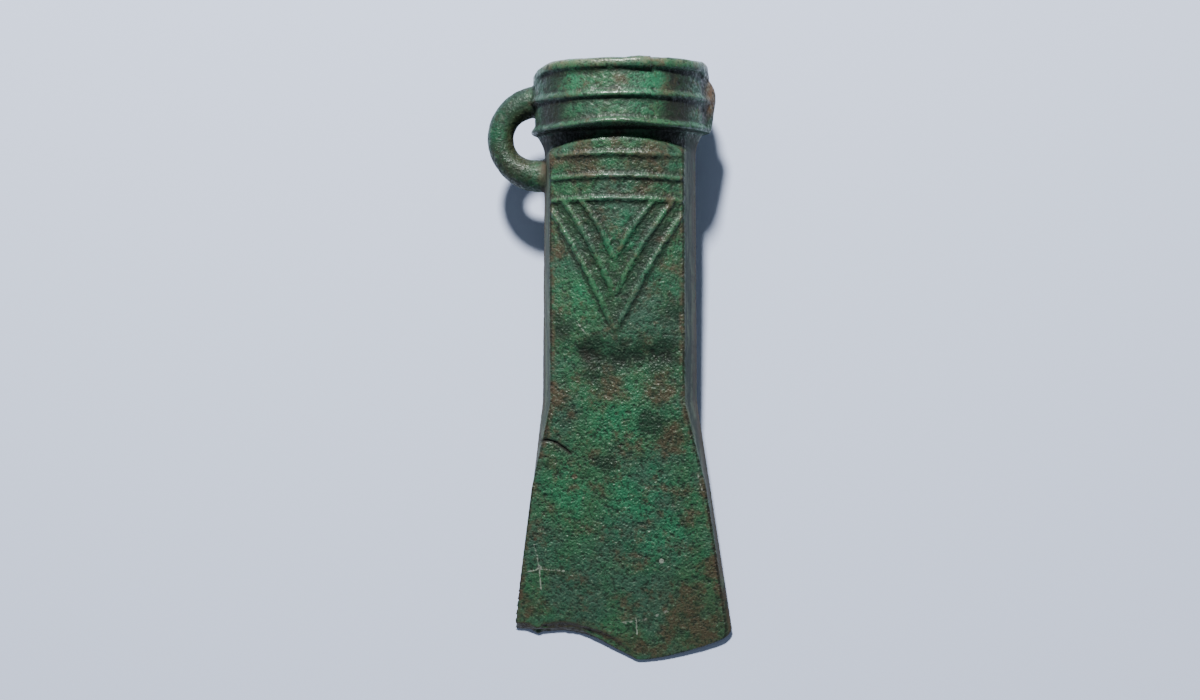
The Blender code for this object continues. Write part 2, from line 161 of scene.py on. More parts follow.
# Marks of wear, as (place across, depth) points, and how deep and wide each kind is cut
CRACK = (
    (-0.0187, 0.0898), (-0.0170, 0.0897), (-0.0150, 0.0903), (-0.0131, 0.0916), (-0.0117, 0.0928))
CRACK_CUT = (0.00045, 0.0003)
CRACK_STAIN_WIDTH = 0.0005
DENT = ((-0.0069, 0.0690), (0.0019, 0.0709), (0.0110, 0.0697))
DENT_CUT = (0.00055, 0.0026)
COLLAR_PITS = ((0.0205, 0.0024), (0.0218, 0.0032))
PIT_CUT = (0.0004, 0.0006)
ARRIS_LINE_CUT = (0.00022, 0.00022)
ARRIS_LINE_FROM = 0.0700
ARRIS_LINE_TO = 0.1150
ARRIS_LINE_GAP = 0.0003
LIP_LUMP_FROM = 0.0014
LIP_LUMP_TO = 0.0088
LIP_LUMP = 0.0005
RIGHT_LIP_LUMP = 0.0003
BUMP_HEIGHT = 0.0005

# Marks in the colour only: (place across, depth) points, and a radius where they are round
SCRATCHES = (
    ((-0.0210, 0.1153), (-0.0203, 0.1181)), ((-0.0203, 0.1181), (-0.0199, 0.1210)),
    ((-0.0199, 0.1210), (-0.0196, 0.1265)), ((-0.0227, 0.1220), (-0.0197, 0.1213)),
    ((-0.0197, 0.1213), (-0.0168, 0.1215)), ((-0.0168, 0.1215), (-0.0138, 0.1218)),
    ((-0.0094, 0.0613), (-0.0075, 0.0639)), ((0.0035, 0.1334), (0.0037, 0.1374)),
    ((0.0190, 0.0982), (0.0199, 0.1018)),
)
PALE_ROW = ((-0.0024, 0.1349), (0.0020, 0.1344), (0.0064, 0.1336), (0.0113, 0.1316))
PALE_SPOTS = ((-0.0199, 0.1210, 0.0008), (0.0099, 0.1192, 0.0008))
RED_SPOTS = ((-0.0207, 0.1139, 0.0006), (-0.0107, 0.0985, 0.0009))
BROWN_REGIONS = (
    (0.0165, 0.1290, 0.0080), (0.0200, 0.1370, 0.0100), (0.0090, 0.1430, 0.0070),
    (-0.0150, 0.0785, 0.0040), (0.0110, 0.0765, 0.0060), (-0.0030, 0.0775, 0.0065),
    (0.0130, 0.0890, 0.0060), (-0.0160, 0.0240, 0.0050), (0.0140, 0.0230, 0.0040),
    (0.0000, 0.0310, 0.0030), (0.0110, 0.0420, 0.0035), (-0.0140, 0.0440, 0.0030),
    (0.0170, 0.1080, 0.0040), (-0.0230, 0.1300, 0.0050), (0.0010, 0.0200, 0.0035),
    (0.0215, 0.0050, 0.0035), (0.0220, 0.0110, 0.0030), (-0.0210, 0.0255, 0.0030),
    (-0.0195, 0.0085, 0.0025), (-0.0260, 0.0170, 0.0025), (-0.0050, 0.0255, 0.0040),
    (0.0070, 0.0290, 0.0035), (0.0130, 0.0340, 0.0030), (0.0100, 0.0010, 0.0030),
    (0.0240, 0.1330, 0.0060), (0.0150, 0.1330, 0.0110), (-0.0080, 0.0240, 0.0080),
    (0.0080, 0.0240, 0.0080), (0.0040, 0.1400, 0.0060), (0.0235, 0.1210, 0.0055),
    (0.0250, 0.1280, 0.0055),
)
# Bright green patches; the last, on the loop's outer upper side where the light falls, is a painted
# highlight
BRIGHT_PATCHES_AND_LOOP_HIGHLIGHT = (
    (-0.0090, 0.0050, 0.0070), (0.0080, 0.0050, 0.0080), (0.0020, 0.0420, 0.0070),
    (-0.0080, 0.0560, 0.0060), (0.0040, 0.1040, 0.0120), (0.0110, 0.1130, 0.0090),
    (0.0000, 0.0850, 0.0100), (-0.0120, 0.1020, 0.0080), (-0.0290, 0.0150, 0.0060),
)
# Dark stains; the first four, in and above the dent below the V's, also paint the dent's shade
DARK_STAINS_AND_DENT_SHADE = (
    (-0.0070, 0.0670, 0.0070), (0.0020, 0.0695, 0.0070), (0.0110, 0.0695, 0.0075),
    (-0.0060, 0.0715, 0.0055), (0.0085, 0.0850, 0.0050), (-0.0020, 0.0945, 0.0040),
    (-0.0130, 0.0620, 0.0050), (0.0130, 0.0600, 0.0050),
)

# Fineness
PANEL_STEPS = 40
FACET_STEPS = 12
COLLAR_STATION_GAP = 0.00025
BODY_STATION_GAP = 0.0008
LINE_STEPS = 60
LINE_SIDES = 10
LOOP_STEPS = 64
LOOP_SIDES = 28
SOFTENING_ROUNDS = 2
CREST_ROUNDS = 14


def distance(name, description, default):
    return bpy.props.FloatProperty(
        name=name, description=description, default=default, precision=5,
        subtype="DISTANCE", unit="LENGTH")


def tint(name, description, default):
    return bpy.props.FloatVectorProperty(
        name=name, description=description, default=default, size=3, min=0.0, max=1.0,
        subtype="COLOR")


def amount(name, description, default):
    return bpy.props.FloatProperty(name=name, description=description, default=default, min=0.0)


def seed(default):
    return bpy.props.IntProperty(
        name="Seed", description="Number that fixes the random pattern", default=default)


class AxeHeadSizes(bpy.types.PropertyGroup):
    """Driving sizes of the casting."""

    length: distance("Length", "From the rim of the mouth to the end of the blade", 0.1441)
    collar_half_width: distance("Collar half width", "Half the collar's width, without ribs", 0.0210)
    collar_half_thickness: distance("Collar half thickness", "Half the collar's thickness", 0.0177)
    body_half_width: distance("Body half width", "Half the width between the side seams", 0.0189)
    panel_half_width: distance("Panel half width", "Half the width of the front panel", 0.0161)
    arris_half_thickness: distance("Arris half thickness", "Half thickness at the arrises", 0.0110)
    flare_starts_at: distance("Flare starts", "Depth at which the blade starts to widen", 0.0808)
    flare_slope: amount("Flare slope", "Widening of each side for each unit of depth", 0.137)
    socket_depth: distance("Socket depth", "Depth of the socket's floor below the rim", 0.0863)
    line_radius: distance("Line radius", "Radius of the raised lines on the panels", 0.00069)
    first_rib_at: distance("First rib", "Depth of the first level rib", 0.0215)
    rib_pitch: distance("Rib pitch", "Distance between the level ribs", 0.0053)
    vee_apex_at: distance("Outer V's apex", "Depth of the outermost V's apex", 0.0636)
    vee_apex_pitch: distance("V pitch", "Distance between the apexes of the V's", 0.0084)
    loop_middle_at: distance("Loop's middle", "Depth of the middle of the loop", 0.01655)
    loop_reach: distance("Loop reach", "How far the loop's rod stands out", 0.0094)
    loop_half_span: distance("Loop half span", "Half the distance between the loop's roots", 0.00905)
    loop_rod_radius: distance("Loop rod radius", "Radius of the loop's rod", 0.0032)
    voxel: distance("Voxel", "Size of the grid that fuses the casting", 0.00030)
    triangles: bpy.props.IntProperty(
        name="Triangles", description="Triangles of the finished piece", default=190000)


class CorrosionSizes(bpy.types.PropertyGroup):
    """How rough the surface is."""

    swell: distance("Swell", "Height of the broad unevenness of the casting", 0.00022)
    swell_size: distance("Swell size", "Size of the broad unevenness", 0.0090)
    crust: distance("Crust", "Height of the crusts of patina", 0.00016)
    crust_size: distance("Crust size", "Size of the crusts of patina", 0.0021)
    pit: distance("Pits", "Depth of the corrosion pits", 0.00016)
    pit_size: distance("Pit size", "Distance between corrosion pits", 0.0017)
    seed: seed(11)


class PatinaColours(bpy.types.PropertyGroup):
    """Colours of the patina."""

    malachite: tint("Malachite", "Main green of the patina", (0.027, 0.097, 0.043))
    verdigris: tint("Verdigris", "Bright green in patches", (0.016, 0.160, 0.072))
    deep_green: tint("Deep green", "Dark green between the greens", (0.007, 0.018, 0.010))
    # Also the painted highlight and glints on the crests of the raised lines and the relief
    powder_and_glint: tint("Pale green", "Powdery green on the crests", (0.210, 0.310, 0.200))
    teal: tint("Teal", "Bluish green in broad patches", (0.030, 0.070, 0.049))
    olive: tint("Olive", "Brownish green between the greens", (0.046, 0.046, 0.022))
    cuprite: tint("Cuprite", "Red brown patches", (0.064, 0.042, 0.025))
    rust: tint("Rust", "Lighter brown on the flash of the seam", (0.130, 0.075, 0.042))
    tan: tint("Tan", "Dusty brown on the lip", (0.200, 0.190, 0.115))
    facet_grey: tint("Facet grey", "Smooth grey skin of the side facets", (0.010, 0.022, 0.011))
    # The paler streaks also paint the sky's sheen on the side facets
    facet_streaks_and_sheen: tint("Facet streaks", "Paler streaks down the side facets", (0.092, 0.118, 0.068))
    scratch: tint("Scratch", "Pale scratches", (0.28, 0.30, 0.25))
    # Soil colour: dark dirt in the socket and the crack, and also painted shade in the hollows and
    # under the collar
    soil_and_shade: tint("Soil", "Dark dirt in the socket and the deepest hollows", (0.010, 0.009, 0.007))


class StageSettings(bpy.types.PropertyGroup):
    """Floor, light and camera."""

    floor_colour: tint("Floor", "Colour of the floor", (0.62, 0.70, 0.90))
    sky_colour: tint("Fill light", "Colour of the light from all round", (0.72, 0.82, 1.00))
    sky_strength: amount("Fill strength", "Strength of the light from all round", 0.20)
    key_power: amount("Key power", "Power of the main light, in watts", 17.5)
    key_size: distance("Key size", "Width of the main light", 0.11)
    key_distance: distance("Key distance", "Distance of the main light", 0.90)
    camera_distance: distance("Camera distance", "From the camera to what it looks at", 0.450)
    lens: amount("Lens", "Focal length in millimetres, on a 36 mm sensor", 54.0)


def smooth(low, high, value):
    """0 below low, 1 above high and a soft ramp between."""
    share = np.clip((value - low) / (high - low), 0.0, 1.0)
    return share * share * (3 - 2 * share)


def bell(gap, width):
    """1 where the gap is 0, falling to nothing over about twice the width."""
    return np.exp(-(gap / width) ** 2)


def along(depth, knots):
    depths, values = zip(*knots)
    return np.interp(depth, depths, values)


class Casting:
    """Form of the casting in its own frame: x across, -y down its depth, z out of its face."""

    def __init__(self, sizes):
        self.s = sizes
        self.body_start = NECK_START
        self.heel = sizes.length - HEEL_LENGTH

    def arris_height(self, depth):
        return along(depth, (
            (self.body_start, self.s.arris_half_thickness),
            (THINNING_STARTS_AT, THINNING_HALF_THICKNESS),
            (self.s.flare_starts_at, SHOULDER_HALF_THICKNESS),
            (self.heel, HEEL_HALF_THICKNESS),
            (self.s.length, EDGE_HALF_THICKNESS)))

    def crown(self, depth):
        return along(depth, (
            (self.body_start, NECK_CROWN), (WAIST_AT, WAIST_CROWN), (CROWN_ENDS_AT, 0.0)))

    def curving(self, depth):
        """Share of the cutting edge's curve that a section has."""
        past = np.maximum(0.0, depth - self.s.flare_starts_at)
        return (past / (self.s.length - self.s.flare_starts_at)) ** 2

    def ring_depth(self, x, depth):
        """Depth of the section that a point belongs to, with the edge's curve taken out."""
        section = depth
        for _ in range(3):
            reach = self.seam_reach(section)
            section = depth + EDGE_SAG * self.curving(section) * np.minimum(1, (x / reach) ** 2)
        return section

    def seam_shift(self, depth):
        return along(depth, (
            (self.body_start, NECK_SHIFT), (self.s.flare_starts_at, WAIST_SHIFT),
            (self.s.length, EDGE_SHIFT)))

    def panel_shift(self, depth):
        return along(depth, (
            (self.body_start, NECK_PANEL_SHIFT), (self.s.length, EDGE_PANEL_SHIFT)))

    def full_half_width(self, depth):
        """Half width between the seams, before the blade's corners are rounded."""
        side_depth = depth - EDGE_SAG * self.curving(depth)
        width = self.s.body_half_width + self.s.flare_slope * np.maximum(
            0.0, side_depth - self.s.flare_starts_at)
        return width - along(
            depth, ((self.body_start, NECK_NARROWING), (self.s.flare_starts_at, 0.0)))

    def seam_reach(self, depth):
        """How far across the curve of the cutting edge is measured."""
        return self.full_half_width(depth) + np.abs(self.seam_shift(depth))

    def seam_half_width(self, depth):
        width = self.full_half_width(depth)
        past = np.clip(depth - (self.s.length - CORNER_RADIUS), 0.0, CORNER_RADIUS)
        return width - CORNER_RADIUS + np.sqrt(CORNER_RADIUS ** 2 - past ** 2)

    def panel_half_width(self, depth):
        facet = along(depth, (
            (self.s.flare_starts_at, self.s.body_half_width - self.s.panel_half_width),
            (FACETS_NARROW_BY, MIDDLE_FACET_WIDTH), (self.heel, EDGE_FACET_WIDTH)))
        flared = self.seam_half_width(depth) - facet
        return np.where(depth <= self.s.flare_starts_at, self.s.panel_half_width, flared)

    def rim_dip(self, x, depth):
        """How far the rim and the groove under its lip dip below the plane of the mouth."""
        near_loop = x < COLLAR_SHIFT
        start = np.where(near_loop, LOOP_SIDE_DIP_FROM, FAR_SIDE_DIP_FROM)
        past = np.maximum(0.0, np.abs(x - COLLAR_SHIFT) - start)
        share = np.minimum(1.0, past / (self.s.collar_half_width - start))
        level = np.where(near_loop, 1.0, np.minimum(1.0, depth / LIP_WIDTH))
        return RIM_DIP * share ** 2 * level * np.maximum(0.0, 1.0 - depth / RIM_DIP_FADES_BY)

    def collar_bow(self, x, depth):
        """How far the collar's ribs bow down on the way to the seams."""
        share = np.abs(x - COLLAR_SHIFT) / self.s.collar_half_width
        bow = np.where(x < 0, along(depth, LOOP_SIDE_BOW), along(depth, FAR_SIDE_BOW))
        return bow * smooth(0.0, BOW_RISES_BY, share)

    def quarter(self):
        """Shares across the panel and down the facet, from the panel's middle to the seam."""
        panel = np.linspace(0.0, 1.0, PANEL_STEPS + 1)
        facet = np.linspace(0.0, 1.0, FACET_STEPS + 1)[1:]
        across = np.concatenate([panel, np.ones(FACET_STEPS + 1)])
        down = np.concatenate([np.zeros(PANEL_STEPS + 1), facet, [1.0]])
        return across, down

    def body_quarter(self, depth, side):
        across, down = self.quarter()
        height = self.arris_height(depth) + self.crown(depth) * (1 - across ** 2)
        x = self.panel_shift(depth) + side * self.panel_half_width(depth) * across
        seam = self.seam_shift(depth) + side * self.seam_half_width(depth)
        arch = ARCH_AT + ARCH_FALL * across ** 2
        above_arch = 1 - smooth(arch - ARCH_ROUNDING, arch + ARCH_ROUNDING, depth)
        height = height - above_arch * (RECESS_DEPTH + CORNER_RECESS_DEPTH * across ** 4)
        neck = np.clip((NECK_END - depth) / (NECK_END - NECK_START), 0.0, 1.0)
        seam += side * NECK_FUNNEL * neck ** 2
        shoulder = min(SEAM_HALF_THICKNESS, self.arris_height(depth) / 2)
        x = x + (seam - side * SEAM_PROUD - x) * down
        height = height + (shoulder - height) * down
        x[-1] = seam
        height[-1] = 0.0
        return x, height

    def collar_turns(self):
        across, down = self.quarter()
        arris = COLLAR_SIDE_SPREAD * math.atan2(
            self.s.arris_half_thickness, self.s.panel_half_width)
        turns = math.pi / 2 - (math.pi / 2 - arris) * across - arris * down
        turns[-2] = arris / FACET_STEPS / 2
        return turns

    def oval(self, half_width, half_thickness, squareness):
        """A quarter of a squared oval, in step with the sections of the body."""
        turns = self.collar_turns()
        x = half_width * np.abs(np.cos(turns)) ** (2 / squareness)
        height = half_thickness * np.abs(np.sin(turns)) ** (2 / squareness)
        return x, height

    def collar_quarter(self, depth, proud, side):
        x, height = self.oval(
            self.s.collar_half_width + proud, self.s.collar_half_thickness + proud,
            COLLAR_SQUARENESS)
        if side > 0:
            flash = np.maximum(0.0, along(depth, FLASH_PROFILE) - proud)
            x = x + flash * bell(height, FLASH_HALF_HEIGHT)
        elif depth < LIP_MERGES_BY:
            x = x - proud * smooth(0.80, 0.98, x / self.s.collar_half_width)
        return COLLAR_SHIFT + side * x, height

    def ring(self, quarters):
        """Closed ring from the quarters of its right and left sides, mirrored to the back."""
        (right_x, right_height), (left_x, left_height) = quarters
        x = np.concatenate([right_x[::-1], left_x[1:], left_x[-2::-1], right_x[1:-1]])
        height = np.concatenate(
            [right_height[::-1], left_height[1:], -left_height[-2::-1], -right_height[1:-1]])
        return x, height

    def outer_rings(self):
        s = self.s
        rings = []
        for depth in np.arange(COLLAR_START, COLLAR_END, COLLAR_STATION_GAP):
            proud = float(along(depth, COLLAR_PROFILE))
            x, height = self.ring([self.collar_quarter(depth, proud, side) for side in (1, -1)])
            dip = self.rim_dip(x, depth) + self.collar_bow(x, depth)
            rings.append((x, depth + dip, height))
        count = round((s.length - CORNER_RADIUS - self.body_start) / BODY_STATION_GAP)
        depths = np.linspace(self.body_start, s.length - CORNER_RADIUS, count)
        corner = np.sin(np.linspace(0.0, math.pi / 2, FACET_STEPS)[1:])
        for depth in np.concatenate([depths, s.length - CORNER_RADIUS * (1 - corner)]):
            x, height = self.ring([self.body_quarter(depth, side) for side in (1, -1)])
            reach = self.seam_reach(depth)
            sag = EDGE_SAG * self.curving(depth)
            rings.append((x, depth - sag * (x / reach) ** 2, height))
        return rings

    def socket_rings(self):
        """Rings down the inside, from the rim to the socket's floor."""
        s = self.s
        width = s.collar_half_width - RIM_WALL
        thickness = s.collar_half_thickness - RIM_WALL
        stations = [
            (COLLAR_START, width + RIM_ROUNDING, thickness + RIM_ROUNDING, COLLAR_SQUARENESS),
            (COLLAR_START + RIM_ROUNDING, width, thickness, COLLAR_SQUARENESS),
            (LIP_WIDTH, width, thickness, COLLAR_SQUARENESS)]
        walls = ((MOUTH_BEVEL_DEPTH, BODY_WALL), (WAIST_AT, BODY_WALL),
                 (s.socket_depth - FLOOR_ROUNDING, FLOOR_WALL),
                 (s.socket_depth, FLOOR_WALL + FLOOR_ROUNDING / 2))
        for depth, wall in walls:
            height = self.arris_height(depth) + self.crown(depth) - wall
            stations.append(
                (depth, self.seam_half_width(depth) - wall, height, SOCKET_SQUARENESS))
        rings = []
        for depth, half_width, half_height, squareness in stations:
            x, height = self.oval(half_width, half_height, squareness)
            shift = along(depth, ((0.0, COLLAR_SHIFT), (MOUTH_BEVEL_DEPTH, 0.0)))
            ring_x, ring_height = self.ring([(shift + x, height), (shift - x, height)])
            dip = self.rim_dip(ring_x, depth) if depth < LIP_WIDTH else 0.0
            rings.append((ring_x, depth + dip, ring_height))
        return rings

    def break_depth(self, x, height):
        """Depth at which the ragged break ends the blade."""
        reach = along(x, BREAK_OUTLINE)
        return self.s.length - reach - BREAK_SLANT * height


def skin(name, rings):
    """Closed mesh over like rings, with a face across each end."""
    points = np.concatenate([np.column_stack(ring) for ring in rings])
    count = len(rings[0][0])
    here = np.arange(count)
    after = (here + 1) % count
    faces = []
    for number in range(len(rings) - 1):
        near, far = number * count, (number + 1) * count
        faces += np.column_stack([near + here, near + after, far + after, far + here]).tolist()
    faces.append(here[::-1].tolist())
    faces.append((here + (len(rings) - 1) * count).tolist())
    mesh = bpy.data.meshes.new(name)
    mesh.from_pydata(points.tolist(), [], faces)
    return mesh


def casting_mesh(form):
    """Outside and socket of the casting in one skin, up to the break."""
    inside = form.socket_rings()
    rings = []
    for x, depth, height in inside[::-1] + form.outer_rings():
        depth = np.minimum(depth, form.break_depth(x, height))
        rings.append((x, -depth, height))
    return skin("casting", rings)


def route_mesh(name, routes):
    """Edges along routes of (x, y, z, radius) points, with the radius as an attribute."""
    points, edges, radii = [], [], []
    for route in routes:
        start = len(points)
        points += [tuple(place[:3]) for place in route]
        radii += [place[3] for place in route]
        edges += [(number, number + 1) for number in range(start, len(points) - 1)]
    mesh = bpy.data.meshes.new(name)
    mesh.from_pydata(points, edges, [])
    mesh.attributes.new("line_radius", "FLOAT", "POINT").data.foreach_set("value", radii)
    return mesh


def faded(shares, length, fade_start, fade_end):
    """Radius factor that swells from nothing at the ends that fade."""
    factor = np.ones(len(shares))
    if fade_start:
        factor = factor * np.sqrt(np.clip(shares * length / fade_start, 0.05, 1.0))
    if fade_end:
        factor = factor * np.sqrt(np.clip((1 - shares) * length / fade_end, 0.05, 1.0))
    return factor


def rib_route(form, number, face):
    """A level rib from arris to arris, slanted and bowed a little; the first fades at its ends."""
    s = form.s
    depth = s.first_rib_at + s.rib_pitch * number
    shares = np.linspace(0.0, 1.0, LINE_STEPS + 1)
    reach = float(form.panel_half_width(depth)) - LINE_END_GAP
    x = float(form.panel_shift(depth)) + reach * (2 * shares - 1)
    depths = depth + RIB_SLANT * np.maximum(0.0, x) + RIB_BOW * (2 * shares - 1) ** 2
    fade = FIRST_RIB_FADE_LENGTH if number == 0 else 0.0
    radii = s.line_radius * faded(shares, 2 * reach, fade, fade)
    return np.column_stack([x, -depths, np.full_like(x, face * DROP_HEIGHT), radii])


def vee_route(form, number, side, face):
    """One arm of a V, from the last rib or the arris down to the apex."""
    s = form.s
    top = Vector((VEE_TOP_SHIFT + side * (VEE_TOP_HALF_WIDTH - VEE_TOP_PITCH * number),
                  s.first_rib_at + s.rib_pitch * (RIB_COUNT - 1)))
    apex = Vector((VEE_APEX_SHIFT, s.vee_apex_at - s.vee_apex_pitch * number))
    arm = apex - top
    inward = Vector((-side * arm.y, side * arm.x)).normalized()
    shares = np.linspace(0.0, 1.0, LINE_STEPS + 1)
    bow = VEE_SAG * 4 * shares * (1 - shares)
    x = top.x + arm.x * shares + inward.x * bow
    depth = top.y + arm.y * shares + inward.y * bow
    on_panel = np.abs(x - form.panel_shift(depth)) <= form.panel_half_width(depth) - LINE_END_GAP
    radii = s.line_radius * faded(shares, arm.length, 0.0, LINE_FADE_LENGTH)
    places = np.column_stack([x, -depth, np.full_like(x, face * DROP_HEIGHT), radii])
    return places[on_panel]


def loop_route(form):
    """The loop's rod, bent to half an oval, with thicker roots."""
    s = form.s
    turns = np.linspace(0.0, math.pi, LOOP_STEPS + 1)
    x = LOOP_MIDDLE_X - s.loop_reach * np.sin(turns)
    depth = s.loop_middle_at - s.loop_half_span * np.cos(turns)
    flare = np.abs(np.cos(turns)) ** LOOP_ROOT_FADE
    radii = s.loop_rod_radius + (LOOP_ROOT_RADIUS - s.loop_rod_radius) * flare
    root_x = LOOP_MIDDLE_X + LOOP_ROOT_LENGTH
    x = np.concatenate([[root_x], x, [root_x]])
    depth = np.concatenate([depth[:1], depth, depth[-1:]])
    radii = np.concatenate([radii[:1], radii, radii[-1:]])
    return np.column_stack([x, -depth, np.zeros_like(x), radii])


class Value:
    """A socket of a node tree, on which Python's arithmetic adds Math nodes."""

    def __init__(self, nodes, socket):
        self.nodes = nodes
        self.socket = socket

    def __add__(self, other):
        return self.nodes.maths("ADD", self, other)

    def __radd__(self, other):
        return self.nodes.maths("ADD", other, self)

    def __sub__(self, other):
        return self.nodes.maths("SUBTRACT", self, other)

    def __rsub__(self, other):
        return self.nodes.maths("SUBTRACT", other, self)

    def __mul__(self, other):
        return self.nodes.maths("MULTIPLY", self, other)

    def __rmul__(self, other):
        return self.nodes.maths("MULTIPLY", other, self)

    def __truediv__(self, other):
        return self.nodes.maths("DIVIDE", self, other)

    def __rtruediv__(self, other):
        return self.nodes.maths("DIVIDE", other, self)

    def __abs__(self):
        return self.nodes.maths("ABSOLUTE", self)


class Nodes:
    """Adds nodes to a tree, in rows of twelve."""

    COLUMN = 200
    ROW = 320
    PER_ROW = 12

    def __init__(self, tree):
        self.tree = tree

    def add(self, kind, settings=None, sockets=None, output=0):
        """A node of a kind, with its settings made before its sockets are set or linked."""
        node = self.tree.nodes.new(kind)
        number = len(self.tree.nodes)
        node.location = (number % self.PER_ROW * self.COLUMN, -(number // self.PER_ROW) * self.ROW)
        for name, value in (settings or {}).items():
            setattr(node, name, value)
        for name, value in (sockets or {}).items():
            if isinstance(value, Value):
                self.tree.links.new(value.socket, node.inputs[name])
            else:
                node.inputs[name].default_value = value
        return Value(self, node.outputs[output]) if node.outputs else node

    def maths(self, operation, first, second=0.0):
        return self.add("ShaderNodeMath", {"operation": operation}, {0: first, 1: second})

    def vector_maths(self, operation, first, second=(0.0, 0.0, 0.0), output=0):
        return self.add(
            "ShaderNodeVectorMath", {"operation": operation}, {0: first, 1: second}, output)

    def scaled(self, vector, share):
        return self.add("ShaderNodeVectorMath", {"operation": "SCALE"}, {0: vector, "Scale": share})

    def parts(self, vector):
        """The vector's x, y and z."""
        x = self.add("ShaderNodeSeparateXYZ", None, {0: vector})
        return [Value(self, socket) for socket in x.socket.node.outputs]

    def ramp(self, value, low, high):
        """0 at low, 1 at high and a soft ramp between; low may be above high."""
        return self.add(
            "ShaderNodeMapRange", {"interpolation_type": "SMOOTHSTEP"},
            {"Value": value, "From Min": low, "From Max": high})

    def noise(self, place, size, number, detail, roughness, output=0):
        """Smooth noise of a size in metres, with a number that fixes its pattern."""
        return self.add(
            "ShaderNodeTexNoise", {"noise_dimensions": "4D"},
            {"Vector": place, "W": number, "Scale": 1.0 / size, "Detail": detail,
             "Roughness": roughness}, output)

    def mix(self, factor, first, second):
        """A colour between two."""
        first = first if isinstance(first, Value) else (*first, 1.0)
        second = second if isinstance(second, Value) else (*second, 1.0)
        return self.add(
            "ShaderNodeMix", {"data_type": "RGBA"}, {0: factor, 6: first, 7: second}, 2)


class Sculptor(Nodes):
    """Adds nodes to a Geometry Nodes tree, whose named inputs are made first."""

    KINDS = {float: "NodeSocketFloat", int: "NodeSocketInt", bpy.types.Object: "NodeSocketObject",
             bpy.types.Material: "NodeSocketMaterial"}

    def __init__(self, name, inputs):
        tree = bpy.data.node_groups.new(name, "GeometryNodeTree")
        super().__init__(tree)
        self.values = inputs
        tree.interface.new_socket("Geometry", in_out="INPUT", socket_type="NodeSocketGeometry")
        tree.interface.new_socket("Geometry", in_out="OUTPUT", socket_type="NodeSocketGeometry")
        self.sockets = {}
        for label, value in inputs.items():
            kind = next(self.KINDS[known] for known in self.KINDS if isinstance(value, known))
            self.sockets[label] = tree.interface.new_socket(
                label, in_out="INPUT", socket_type=kind)
        self.start = tree.nodes.new("NodeGroupInput")

    def given(self, label="Geometry"):
        return Value(self, self.start.outputs[label])

    def finish(self, geometry, material):
        """Ends the tree with plain geometry in one material."""
        geometry = self.add("GeometryNodeRealizeInstances", None, {"Geometry": geometry})
        geometry = self.add(
            "GeometryNodeSetMaterial", None, {"Geometry": geometry, "Material": material})
        end = self.tree.nodes.new("NodeGroupOutput")
        self.tree.links.new(geometry.socket, end.inputs[0])

    def put_on(self, piece):
        modifier = piece.modifiers.new(self.tree.name, "NODES")
        modifier.node_group = self.tree
        for label, value in self.values.items():
            modifier[self.sockets[label].identifier] = value
        return modifier


def sweep_tree(name, material, sides, target=None, sinking=0.0):
    """Tree that sweeps a round rod along edges, dropped first onto a target where there is one."""
    inputs = {"Material": material, "Sides": sides}
    if target is not None:
        inputs.update({"Target": target, "Sinking": sinking})
    nodes = Sculptor(name, inputs)
    routes = nodes.given()
    if target is not None:
        place = nodes.add("GeometryNodeInputPosition")
        height = nodes.parts(place)[2]
        surface = nodes.add(
            "GeometryNodeObjectInfo", {"transform_space": "ORIGINAL"},
            {"Object": nodes.given("Target")}, "Geometry")
        down = nodes.add(
            "ShaderNodeCombineXYZ", None, {"Z": -1 * nodes.maths("SIGN", height)})
        hit = nodes.add(
            "GeometryNodeRaycast", None,
            {"Target Geometry": surface, "Source Position": place, "Ray Direction": down,
             "Ray Length": 2 * DROP_HEIGHT}, "Hit Position")
        routes = nodes.add(
            "GeometryNodeSetPosition", None,
            {"Geometry": routes, "Position": hit,
             "Offset": nodes.scaled(down, nodes.given("Sinking"))})
    curve = nodes.add("GeometryNodeMeshToCurve", None, {"Mesh": routes})
    profile = nodes.add(
        "GeometryNodeCurvePrimitiveCircle", None,
        {"Resolution": nodes.given("Sides"), "Radius": 1.0})
    radius = nodes.add(
        "GeometryNodeInputNamedAttribute", {"data_type": "FLOAT"}, {"Name": "line_radius"})
    rods = nodes.add(
        "GeometryNodeCurveToMesh", None,
        {"Curve": curve, "Profile Curve": profile, "Scale": radius, "Fill Caps": True})
    nodes.finish(rods, nodes.given("Material"))
    return nodes


def corrosion_tree(rough, material):
    """Tree that makes a smooth casting uneven, crusted and pitted."""
    nodes = Sculptor("corrosion", {
        "Material": material, "Swell": rough.swell, "Swell size": rough.swell_size,
        "Crust": rough.crust, "Crust size": rough.crust_size, "Pits": rough.pit,
        "Pit size": rough.pit_size, "Seed": rough.seed})
    place = nodes.add("GeometryNodeInputPosition")

    number = nodes.given("Seed")
    swell = nodes.noise(place, nodes.given("Swell size"), number, 2.0, 0.5)
    swell = (swell - 0.5) * 2 * nodes.given("Swell")
    crust = nodes.noise(place, nodes.given("Crust size"), number, 3.0, 0.6)
    crust = (crust - 0.5) * 2 * nodes.given("Crust")
    spots = nodes.add(
        "ShaderNodeTexVoronoi", {"voronoi_dimensions": "4D", "feature": "SMOOTH_F1"},
        {"Vector": place, "W": number, "Scale": 1 / nodes.given("Pit size"), "Smoothness": 0.3})
    pits = nodes.ramp(spots, 0.42, 0.12) * nodes.given("Pits")
    rough_here = nodes.add(
        "GeometryNodeInputNamedAttribute", {"data_type": "FLOAT"}, {"Name": "rough"})
    push = (swell + crust - pits) * rough_here
    offset = nodes.scaled(nodes.add("GeometryNodeInputNormal"), push)
    moved = nodes.add(
        "GeometryNodeSetPosition", None, {"Geometry": nodes.given(), "Offset": offset})
    nodes.finish(moved, nodes.given("Material"))
    return nodes


def new_object(name, mesh):
    piece = bpy.data.objects.new(name, mesh)
    bpy.context.scene.collection.objects.link(piece)
    return piece


